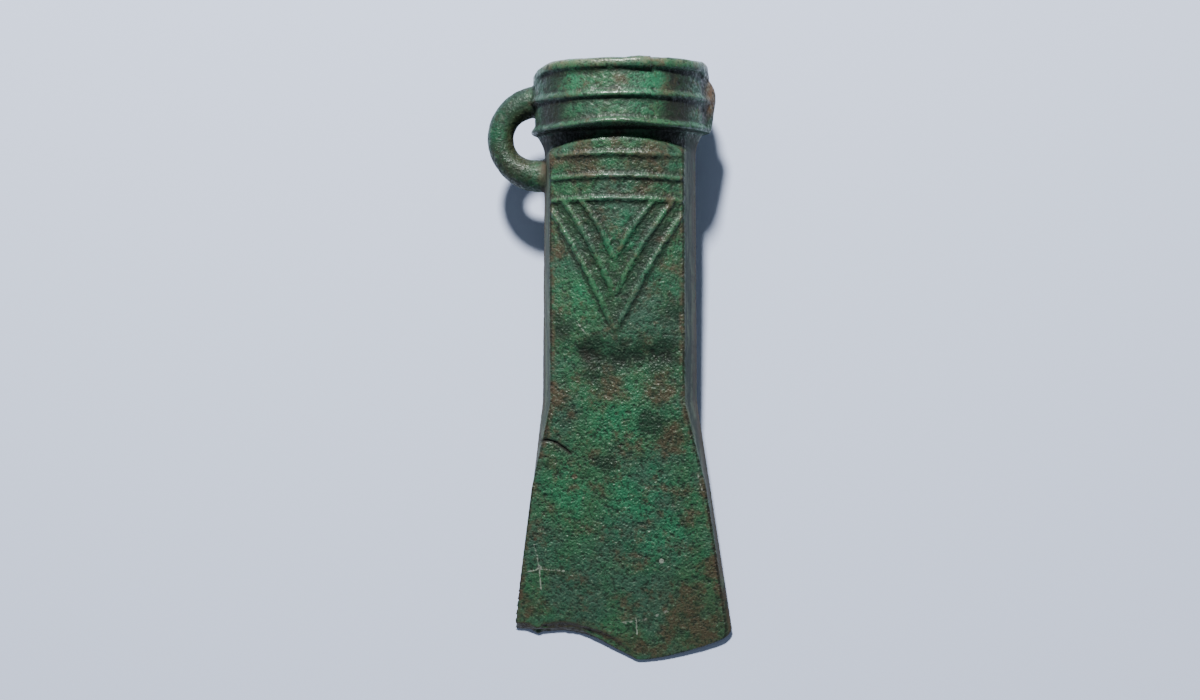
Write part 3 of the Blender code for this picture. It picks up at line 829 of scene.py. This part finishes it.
def baked(piece, name):
    """The piece's evaluated form as a plain mesh object, in place of the piece."""
    bpy.context.view_layer.update()
    evaluated = piece.evaluated_get(bpy.context.evaluated_depsgraph_get())
    mesh = bpy.data.meshes.new_from_object(evaluated)
    bpy.data.objects.remove(piece, do_unlink=True)
    return new_object(name, mesh)


def joined(name, pieces):
    """One mesh object of several, each still its own shell."""
    points, faces = [], []
    for piece in pieces:
        start = len(points)
        points += [tuple(vert.co) for vert in piece.data.vertices]
        faces += [[start + index for index in face.vertices] for face in piece.data.polygons]
        bpy.data.objects.remove(piece, do_unlink=True)
    mesh = bpy.data.meshes.new(name)
    mesh.from_pydata(points, [], faces)
    return new_object(name, mesh)


def vectors_of(items, name):
    values = np.empty(len(items) * 3, np.float32)
    items.foreach_get(name, values)
    return values.reshape(-1, 3).astype(float)


def points_of(mesh):
    return vectors_of(mesh.vertices, "co")


def normals_of(mesh):
    return vectors_of(mesh.vertex_normals, "vector")


def edges_of(mesh):
    edges = np.empty(len(mesh.edges) * 2, np.int32)
    mesh.edges.foreach_get("vertices", edges)
    return edges.reshape(-1, 2)


def neighbours_mean(values, edges):
    """Mean of each vertex's neighbours."""
    total = np.zeros_like(values)
    np.add.at(total, edges[:, 0], values[edges[:, 1]])
    np.add.at(total, edges[:, 1], values[edges[:, 0]])
    count = np.bincount(edges.ravel(), minlength=len(values))
    return total / count[:, None]


def set_field(mesh, name, values):
    field = mesh.attributes.get(name) or mesh.attributes.new(name, "FLOAT", "POINT")
    field.data.foreach_set("value", np.asarray(values, np.float32))


def inside_share(form, points):
    """1 on the socket's surface and 0 on the outside."""
    s = form.s
    x, depth, height = points[:, 0], -points[:, 1], points[:, 2]
    half_width = np.where(depth < form.body_start, s.collar_half_width, form.seam_half_width(depth))
    half_height = np.where(
        depth < form.body_start, s.collar_half_thickness,
        form.arris_height(depth) + form.crown(depth))
    wall = RIM_WALL / 2
    oval = (np.abs(x - COLLAR_SHIFT) / (half_width - wall)) ** SOCKET_SQUARENESS
    oval += (np.abs(height) / (half_height - wall)) ** SOCKET_SQUARENESS
    reach = smooth(s.socket_depth + wall, s.socket_depth, depth)
    return smooth(1.05, 0.95, oval) * reach * smooth(0.0, RIM_ROUNDING, depth)


def section_places(form, points):
    """For each point: depth of its section, and its gaps from the arris and from the seam."""
    x = points[:, 0]
    section = form.ring_depth(x, -points[:, 1])
    arris = form.panel_half_width(section) - np.abs(x - form.panel_shift(section))
    seam = form.seam_half_width(section) - np.abs(x - form.seam_shift(section))
    return section, arris, seam


def route_gap(points, route):
    """Distance across the face from a route of (place across, depth) points."""
    gap = np.full(len(points), np.inf)
    flat = points[:, :2] * (1, -1)
    for start, end in zip(route, route[1:]):
        start, end = np.array(start), np.array(end)
        share = ((flat - start) @ (end - start) / ((end - start) @ (end - start))).clip(0, 1)
        gap = np.minimum(gap, np.linalg.norm(flat - start - share[:, None] * (end - start), axis=1))
    return gap


def mark_wear(form, mesh):
    """Cuts the crack, the dent, the pits and the lines along the arrises, and swells the lip."""
    points = points_of(mesh)
    normals = normals_of(mesh)
    section, arris, _ = section_places(form, points)
    front = smooth(0.0, 0.002, points[:, 2]) * smooth(0.2, 0.5, normals[:, 2])
    push = np.zeros(len(points))
    for route, (cut, width) in ((CRACK, CRACK_CUT), (DENT, DENT_CUT)):
        push -= cut * front * bell(route_gap(points, route), width)
    for x, depth in COLLAR_PITS:
        gap = np.hypot(points[:, 0] - x, points[:, 1] + depth)
        push -= PIT_CUT[0] * bell(gap, PIT_CUT[1])
    lined = smooth(ARRIS_LINE_FROM, ARRIS_LINE_FROM + 0.01, section)
    lined *= smooth(ARRIS_LINE_TO + 0.01, ARRIS_LINE_TO, section)
    push -= ARRIS_LINE_CUT[0] * lined * bell(arris - ARRIS_LINE_GAP, ARRIS_LINE_CUT[1])
    lump = smooth(LIP_LUMP_FROM, LIP_LUMP_TO - 0.002, points[:, 0])
    lump *= smooth(LIP_LUMP_TO + 0.0004, LIP_LUMP_TO, points[:, 0])
    thick = smooth(0.0100, 0.0130, points[:, 0]) * RIGHT_LIP_LUMP
    on_lip = smooth(0.0024, 0.0014, -points[:, 1]) * front
    push += on_lip * (lump * LIP_LUMP + thick)
    points += push[:, None] * normals
    mesh.vertices.foreach_set("co", points.astype(np.float32).ravel())
    mesh.update()


def fused_casting(form, material):
    """Casting, loop and raised lines in one skin, as a soft-edged mesh."""
    body = new_object("casting", casting_mesh(form))
    lines = []
    for face, vees in ((1, range(VEE_COUNT)), (-1, BACK_VEES)):
        lines += [rib_route(form, number, face) for number in range(RIB_COUNT)]
        lines += [vee_route(form, number, side, face) for number in vees for side in (-1, 1)]
    ribs = new_object("raised_lines", route_mesh("raised_lines", lines))
    sweep_tree("raised_lines", material, LINE_SIDES, body, LINE_SINKING).put_on(ribs)
    ribs = baked(ribs, "raised_lines")
    loop = new_object("loop", route_mesh("loop", [loop_route(form)]))
    sweep_tree("loop", material, LOOP_SIDES).put_on(loop)
    loop = baked(loop, "loop")
    fused = joined("fused", [body, ribs, loop])
    remesh = fused.modifiers.new("fuse", "REMESH")
    remesh.mode = "VOXEL"
    remesh.voxel_size = form.s.voxel
    soften = fused.modifiers.new("soften", "SMOOTH")
    soften.iterations = SOFTENING_ROUNDS
    return baked(fused, "fused")


def facet_share(form, points):
    """1 on the body's side facets and 0 on its panels, its collar and its loop."""
    section, arris, seam = section_places(form, points)
    share = smooth(0.0001, -0.0003, arris) * smooth(-0.0012, -0.0004, seam)
    return share * smooth(form.body_start, form.body_start + 0.003, section)


def rough_share(form, points):
    """How rough the surface is: least on the side facets and at the blade's thin edges."""
    section, _, seam = section_places(form, points)
    thin = smooth(0.0020, 0.0008, seam) * smooth(0.0800, 0.1000, section)
    thin = np.maximum(thin, smooth(form.heel + 0.0030, form.heel + 0.0060, section))
    return (1 - 0.5 * facet_share(form, points)) * (1 - 0.7 * thin)


def collar_shade_share(form, points):
    """1 under the collar, in the recess that the collar shades, where shade is painted."""
    x, depth = points[:, 0], -points[:, 1]
    start = COLLAR_SHADE_FROM + form.collar_bow(x, COLLAR_SHADE_FROM)
    end = ARCH_AT + ARCH_FALL * np.minimum(1, np.abs(x) / form.s.panel_half_width) ** 2
    share = smooth(start, start + 0.0005, depth) * smooth(end + 0.0004, end - 0.0010, depth)
    return share * smooth(-form.s.collar_half_width - 0.0022, -form.s.collar_half_width - 0.0012, x)


def mark_fields(form, mesh):
    """Fields that the patina follows: how far the surface stands proud, and what part it is."""
    points = points_of(mesh)
    normals = normals_of(mesh)
    edges = edges_of(mesh)
    _, arris, seam = section_places(form, points)
    level = points.copy()
    for _ in range(CREST_ROUNDS):
        level = neighbours_mean(level, edges)
    on_collar = smooth(form.body_start + 0.0005, form.body_start, -points[:, 1])
    broken = smooth(0.0007, 0.0002, form.break_depth(points[:, 0], points[:, 2]) + points[:, 1])
    fields = {
        "proud": ((points - level) * normals).sum(1),
        "arris": np.maximum(arris, on_collar * form.s.panel_half_width),
        "seam": seam,
        "facet": facet_share(form, points),
        "inside": inside_share(form, points),
        "fracture": broken * smooth(0.2, 0.6, -normals[:, 1]),
        "crack": bell(route_gap(points, CRACK), CRACK_STAIN_WIDTH) * (points[:, 2] > 0),
        # Painted shade under the collar
        "collar_shade": collar_shade_share(form, points),
    }
    for name, values in fields.items():
        set_field(mesh, name, values)


def casting_frame(sizes):
    """Where the frame holds the casting: the middle of the mouth, and the casting's own axes."""
    mounts = {mount["name"]: mount for mount in frame["record"]["mounts"]}
    along_axis = Vector(mounts["socket_mouth"]["axis"])
    middle = Vector(mounts["socket_floor"]["pos_m"]) + along_axis * sizes.socket_depth
    out = Vector(mounts["socket_mouth"]["pos_m"]) - middle
    turn = math.asin(COLLAR_SHIFT / out.length)
    out.normalize()
    across = along_axis.cross(out)
    x_axis = across * math.cos(turn) + out * math.sin(turn)
    z_axis = out * math.cos(turn) - across * math.sin(turn)
    turned = Matrix((x_axis, along_axis, z_axis)).transposed()
    return Matrix.Translation(middle) @ turned.to_4x4()


class Patina(Nodes):
    """Green patina over bronze, mottled, flecked and brown in patches, with painted highlights and
    glints on the crests, a painted sheen on the side facets, and painted shade in the hollows, in the
    dent and under the collar.
    """

    FIELDS = ("proud", "arris", "seam", "facet", "inside", "fracture", "crack", "collar_shade")
    DRIFT_SIZE = 1 / 260
    DRIFT_REACH = (0.010, 0.010, 0.0)

    def __init__(self, colours, sizes, lying):
        self.material = bpy.data.materials.new("green_patina")
        self.material.use_nodes = True
        self.material.node_tree.nodes.clear()
        super().__init__(self.material.node_tree)
        self.colours = colours
        self.loop_middle = (LOOP_MIDDLE_X, -sizes.loop_middle_at, 0.0)
        place = self.add("ShaderNodeTexCoord", output="Object")
        self.place = self.add(
            "ShaderNodeMapping", {"vector_type": "TEXTURE"},
            {"Vector": place, "Location": lying.to_translation(), "Rotation": lying.to_euler()})
        self.across, up, height = self.parts(self.place)
        self.depth = -1 * up
        self.front = self.ramp(height, 0.0, 0.001)
        self.low = self.ramp(self.depth, 0.115, 0.130)
        self.flat = self.vector_maths("MULTIPLY", self.place, (1.0, 1.0, 0.0))
        drift = self.noise(self.place, self.DRIFT_SIZE, 2.0, 4.0, 0.5, "Color")
        drift = self.vector_maths("SUBTRACT", drift, (0.5, 0.5, 0.5))
        self.strayed = self.add(
            "ShaderNodeVectorMath", {"operation": "MULTIPLY_ADD"},
            {0: drift, 1: self.DRIFT_REACH, 2: self.flat})
        self.patches = self.noise(self.place, 0.014, 3.0, 4.0, 0.6)
        self.stain = self.noise(self.place, 0.0052, 13.0, 6.0, 0.75)
        self.blotches = self.noise(self.place, 0.0045, 5.0, 5.0, 0.65)
        self.mottle = self.noise(self.place, 0.0019, 7.0, 5.0, 0.7)
        self.grain = self.noise(self.place, 0.00055, 9.0, 1.0, 0.5)
        knobs = self.noise(self.place, 0.0011, 19.0, 1.0, 0.5)
        self.relief = knobs * 0.45 + self.grain * 0.55
        self.shade(*[
            self.add("ShaderNodeAttribute", {"attribute_name": name}, output="Fac")
            for name in self.FIELDS])

    def greatest(self, values):
        total = values[0]
        for value in values[1:]:
            total = self.maths("MAXIMUM", total, value)
        return total

    def regions(self, places):
        """1 in the middle of round regions, 0 outside them, with strayed edges."""
        shares = []
        for x, depth, radius in places:
            gap = self.vector_maths("DISTANCE", self.strayed, (x, -depth, 0.0), "Value")
            shares.append(self.ramp(gap, radius * 1.1, 0.0))
        return self.greatest(shares)

    def spots(self, places):
        """1 in small round spots."""
        shares = []
        for x, depth, radius in places:
            gap = self.vector_maths("DISTANCE", self.flat, (x, -depth, 0.0), "Value")
            shares.append(self.ramp(gap, radius, radius * 0.5))
        return self.greatest(shares) * self.front

    def strokes(self, ends, width):
        """1 along straight strokes of a width, between pairs of (place across, depth) points."""
        shares = []
        for (start_x, start_depth), (end_x, end_depth) in ends:
            reach = Vector((end_x - start_x, start_depth - end_depth, 0.0))
            away = self.vector_maths("SUBTRACT", self.flat, (start_x, -start_depth, 0.0))
            share = self.vector_maths("DOT_PRODUCT", away, reach / reach.length_squared, "Value")
            share = self.maths("MAXIMUM", self.maths("MINIMUM", share, 1.0), 0.0)
            gap = self.vector_maths("DISTANCE", away, self.scaled(reach, share), "Value")
            shares.append(self.ramp(gap, width, width * 0.4))
        return self.greatest(shares) * self.front

    def layered(self, colour, layers):
        """The colour with others laid over it in turn, each by its own share."""
        for share, over in layers:
            colour = self.mix(share, colour, over)
        return colour

    def greens(self):
        """Greens and browns that lie all over, in patches of several sizes; a few dark patches paint
        the dent's shade and one bright patch paints a highlight on the loop.
        """
        tints = self.colours
        bright_and_loop_highlight = self.ramp(self.regions(BRIGHT_PATCHES_AND_LOOP_HIGHLIGHT) * 0.22 + self.blotches, 0.46, 0.80)
        brown = self.ramp(self.stain + self.regions(BROWN_REGIONS) * 0.24, 0.46, 0.76)
        dull = self.low * self.ramp(self.across, 0.004, 0.020)
        rust = self.ramp(self.stain * 0.4 + self.mottle * 0.6 + brown * 0.09, 0.51, 0.65)
        dark_and_dent_shade = self.ramp(self.regions(DARK_STAINS_AND_DENT_SHADE) * 0.36 + self.blotches, 0.48, 0.84)
        return self.layered(tints.malachite, (
            (self.ramp(self.patches, 0.44, 0.62) * 0.8, tints.teal),
            (bright_and_loop_highlight * (0.8 - 0.45 * self.low), tints.verdigris),
            (self.maths("MAXIMUM", brown * 0.8, dull * 0.35), tints.olive),
            (rust * 0.6, tints.cuprite),
            (dark_and_dent_shade * 0.8, tints.deep_green),
            (self.ramp(self.mottle, 0.50, 0.36) * 0.45, tints.deep_green)))

    def wear_and_painted_light(self, colour, ridge, on_body, proud, arris, collar_shade):
        """The colour with brown arrises and flash, painted shade in the hollows, a dusty lip, and pale
        crests that also carry painted highlights and glints.
        """
        tints = self.colours
        near_arris = self.ramp(abs(arris - 0.0006), 0.0011, 0.0002)
        near_arris = near_arris * self.ramp(self.stain, 0.42, 0.56)
        # Painted shade: darker where the surface lies below its neighbours, beside the raised lines
        # and in the dips of the crust
        hollow_shade = self.ramp(proud, -0.00001, -0.00013) * (1 - collar_shade)
        lip = self.ramp(self.depth, 0.0014, 0.0) * self.ramp(self.stain, 0.40, 0.56)
        flash = self.ramp(abs(self.depth - FLASH_BROWN_AT), 0.0064, 0.0034)
        flash = flash * self.ramp(self.across, 0.0206, 0.0226)
        gap = self.vector_maths("DISTANCE", self.flat, self.loop_middle, "Value")
        inner = self.ramp(gap, 0.0092, 0.0060) * (1 - on_body)
        # Pale powder on the crests, together with painted highlights and glints on the raised lines
        # and on the high spots of the relief
        crest_glint = self.maths("MAXIMUM", ridge * 0.25, self.ramp(self.relief, 0.56, 0.66))
        return self.layered(colour, (
            (near_arris * 0.7, tints.cuprite),
            (hollow_shade * 0.6, tints.soil_and_shade),
            ((1 - on_body) * 0.55, tints.deep_green),
            (lip * 0.45, tints.tan),
            (flash * 0.75, tints.rust),
            (inner * 0.75, tints.olive),
            (crest_glint * 0.20, tints.powder_and_glint),
            (self.ramp(self.relief, 0.48, 0.38) * 0.75, tints.deep_green)))

    def facets_with_sheen(self, seam):
        """Smooth grey of the side facets, streaked down their length in a paler colour that also
        paints the sky's sheen on them, and brown at the seam.
        """
        tints = self.colours
        long_place = self.vector_maths("MULTIPLY", self.place, (1.0, 0.10, 0.5))
        streaks = self.noise(long_place, 0.0013, 21.0, 3.0, 0.6)
        edge = self.ramp(abs(seam - 0.0002), 0.0012, 0.0002)
        edge = edge * self.ramp(self.blotches, 0.35, 0.52)
        return self.layered(tints.facet_grey, (
            (self.ramp(streaks, 0.40, 0.62), tints.facet_streaks_and_sheen),
            (self.ramp(self.mottle, 0.50, 0.62) * 0.7, tints.deep_green),
            (edge * 0.8, tints.cuprite)))

    def pale_marks(self):
        """1 on the scratches, the row of flecks and the pale spots."""
        scratches = self.strokes(SCRATCHES, 0.00024) * self.ramp(self.grain, 0.40, 0.60)
        row = self.strokes(zip(PALE_ROW, PALE_ROW[1:]), 0.0004)
        row = row * self.ramp(self.mottle, 0.48, 0.62)
        spots = self.spots(PALE_SPOTS) * self.ramp(self.grain, 0.3, 0.5)
        return self.greatest([scratches, row, spots])

    def shade(self, proud, arris, seam, facet, inside, fracture, crack, collar_shade):
        tints = self.colours
        on_body = self.ramp(seam, -0.0045, -0.0015)
        ridge = self.ramp(proud, 0.00006, 0.00020) * on_body * (1 - facet)
        ridge = ridge * self.ramp(abs(arris), 0.0005, 0.0012)
        line = self.ramp(abs(arris - 0.0003), 0.0004, 0.0001) * self.ramp(self.patches, 0.62, 0.50)
        colour = self.wear_and_painted_light(self.greens(), ridge, on_body, proud, arris, collar_shade)
        colour = self.layered(colour, (
            (facet * 0.9, self.facets_with_sheen(seam)),
            (line * 0.7, tints.soil_and_shade),
            # Painted shade under the collar
            (collar_shade * 0.15, tints.soil_and_shade),
            (self.pale_marks() * 0.7, tints.scratch),
            (self.spots(RED_SPOTS) * 0.8, tints.cuprite),
            (crack * 0.9, tints.soil_and_shade),
            (fracture * 0.8, tints.cuprite),
            (inside * 0.85, tints.soil_and_shade)))
        calm = self.maths("MAXIMUM", facet * 0.85, ridge * 0.5)
        steeper = 0.6 + 0.4 * self.ramp(self.depth, 0.0130, 0.0170)
        steeper = steeper + 0.45 * self.ramp(self.depth, 0.060, 0.085) - 0.35 * self.low
        height = (self.relief - 0.5) * (1 - calm) * steeper
        bump = self.add(
            "ShaderNodeBump", None, {"Strength": 1.0, "Distance": BUMP_HEIGHT, "Height": height})
        gloss = self.ramp(self.relief, 0.46, 0.58)
        roughness = 0.62 + facet * 0.12 + crack * 0.3 - (gloss * 0.22 + ridge * 0.14) * (1 - facet)
        shader = self.add("ShaderNodeBsdfPrincipled", None, {
            "Base Color": colour, "Roughness": roughness, "Metallic": 0.1,
            "Specular IOR Level": 0.36, "Normal": bump})
        self.add("ShaderNodeOutputMaterial", None, {"Surface": shader})


class AXEHEAD_OT_cast(bpy.types.Operator):
    """Make the axe head: one casting, corroded and patinated"""

    bl_idname = "axe_head.cast"
    bl_label = "Cast the axe head"

    def execute(self, context):
        scene = context.scene
        form = Casting(scene.axe_head_sizes)
        lying = casting_frame(scene.axe_head_sizes)
        material = Patina(scene.axe_head_colours, scene.axe_head_sizes, lying).material
        casting = fused_casting(form, material)
        mark_wear(form, casting.data)
        set_field(casting.data, "rough", rough_share(form, points_of(casting.data)))
        corrosion_tree(scene.axe_head_corrosion, material).put_on(casting)
        thin = casting.modifiers.new("thin", "DECIMATE")
        thin.ratio = min(1.0, scene.axe_head_sizes.triangles / (2 * len(casting.data.polygons)))
        casting = baked(casting, PIECE)
        mark_fields(form, casting.data)
        casting.data.transform(lying)
        casting.data.name = PIECE
        casting.data.shade_smooth()
        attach(casting, "root")
        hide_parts(NODE)
        return {"FINISHED"}


class AXEHEAD_OT_stage(bpy.types.Operator):
    """Make the floor, the lights and the camera"""

    bl_idname = "axe_head.stage"
    bl_label = "Set the stage"

    FLOOR_HALF_SIZE = 1.5
    TARGET = (-0.00327, 0.00375, 0.0)
    CAMERA_TILT = math.radians(7.0)
    CAMERA_SIDE = math.radians(4.5)
    CAMERA_ROLL = math.radians(0.15)
    KEY_FROM = (-0.12, 1.0, 1.28)

    def execute(self, context):
        settings = context.scene.axe_head_stage
        self.add_floor(settings)
        self.add_key(settings)
        self.add_sky(context.scene, settings)
        self.add_camera(context.scene, settings)
        return {"FINISHED"}

    def add_floor(self, settings):
        half = self.FLOOR_HALF_SIZE
        mesh = bpy.data.meshes.new("floor")
        corners = [(-half, -half, 0.0), (half, -half, 0.0), (half, half, 0.0), (-half, half, 0.0)]
        mesh.from_pydata(corners, [], [(0, 1, 2, 3)])
        material = bpy.data.materials.new("floor")
        material.use_nodes = True
        shader = material.node_tree.nodes["Principled BSDF"]
        shader.inputs["Base Color"].default_value = (*settings.floor_colour, 1.0)
        shader.inputs["Roughness"].default_value = 0.9
        mesh.materials.append(material)
        new_object("floor", mesh)

    def add_key(self, settings):
        light = bpy.data.lights.new("key", "AREA")
        light.shape = "DISK"
        light.size = settings.key_size
        light.energy = settings.key_power
        key = new_object("key", light)
        direction = Vector(self.KEY_FROM).normalized()
        key.location = Vector(self.TARGET) + direction * settings.key_distance
        key.rotation_euler = direction.to_track_quat("Z", "Y").to_euler()

    def add_sky(self, scene, settings):
        world = bpy.data.worlds.new("fill")
        world.use_nodes = True
        background = world.node_tree.nodes["Background"]
        background.inputs["Color"].default_value = (*settings.sky_colour, 1.0)
        background.inputs["Strength"].default_value = settings.sky_strength
        scene.world = world

    def add_camera(self, scene, settings):
        lens = bpy.data.cameras.new("camera")
        lens.lens = settings.lens
        lens.sensor_width = 36.0
        lens.clip_start = 0.01
        camera = new_object("camera", lens)
        tilt, side = self.CAMERA_TILT, self.CAMERA_SIDE
        roll = Matrix.Rotation(self.CAMERA_ROLL, 3, "Z")
        away = roll @ Vector((
            math.sin(side), -math.sin(tilt) * math.cos(side), math.cos(tilt) * math.cos(side)))
        right = (roll @ Vector((0.0, 1.0, 0.0))).cross(away).normalized()
        turned = Matrix((right, away.cross(right), away)).transposed()
        place = Vector(self.TARGET) + away * settings.camera_distance
        camera.matrix_world = Matrix.Translation(place) @ turned.to_4x4()
        scene.camera = camera


class AXEHEAD_PT_panel(bpy.types.Panel):
    """Sizes, colours and steps of the axe head"""

    bl_idname = "AXEHEAD_PT_panel"
    bl_label = "Axe head"
    bl_space_type = "VIEW_3D"
    bl_region_type = "UI"
    bl_category = "Axe Head"

    def draw(self, context):
        for label, settings, operator in (
                ("Form", context.scene.axe_head_sizes, None),
                ("Corrosion", context.scene.axe_head_corrosion, None),
                ("Patina", context.scene.axe_head_colours, AXEHEAD_OT_cast),
                ("Stage", context.scene.axe_head_stage, AXEHEAD_OT_stage)):
            box = self.layout.box()
            box.label(text=label)
            for name in settings.__annotations__:
                box.prop(settings, name)
            if operator is not None:
                box.operator(operator.bl_idname)


GROUPS = {
    "axe_head_sizes": AxeHeadSizes,
    "axe_head_corrosion": CorrosionSizes,
    "axe_head_colours": PatinaColours,
    "axe_head_stage": StageSettings,
}
CLASSES = (AXEHEAD_OT_cast, AXEHEAD_OT_stage, AXEHEAD_PT_panel)


def register():
    for name, group in GROUPS.items():
        bpy.utils.register_class(group)
        setattr(bpy.types.Scene, name, bpy.props.PointerProperty(type=group))
    for item in CLASSES:
        bpy.utils.register_class(item)


def unregister():
    for item in reversed(CLASSES):
        bpy.utils.unregister_class(item)
    for name, group in reversed(GROUPS.items()):
        delattr(bpy.types.Scene, name)
        bpy.utils.unregister_class(group)


def main():
    register()
    bpy.ops.axe_head.cast()
    bpy.ops.axe_head.stage()
    bpy.context.view_layer.update()


if __name__ == "__main__":
    main()
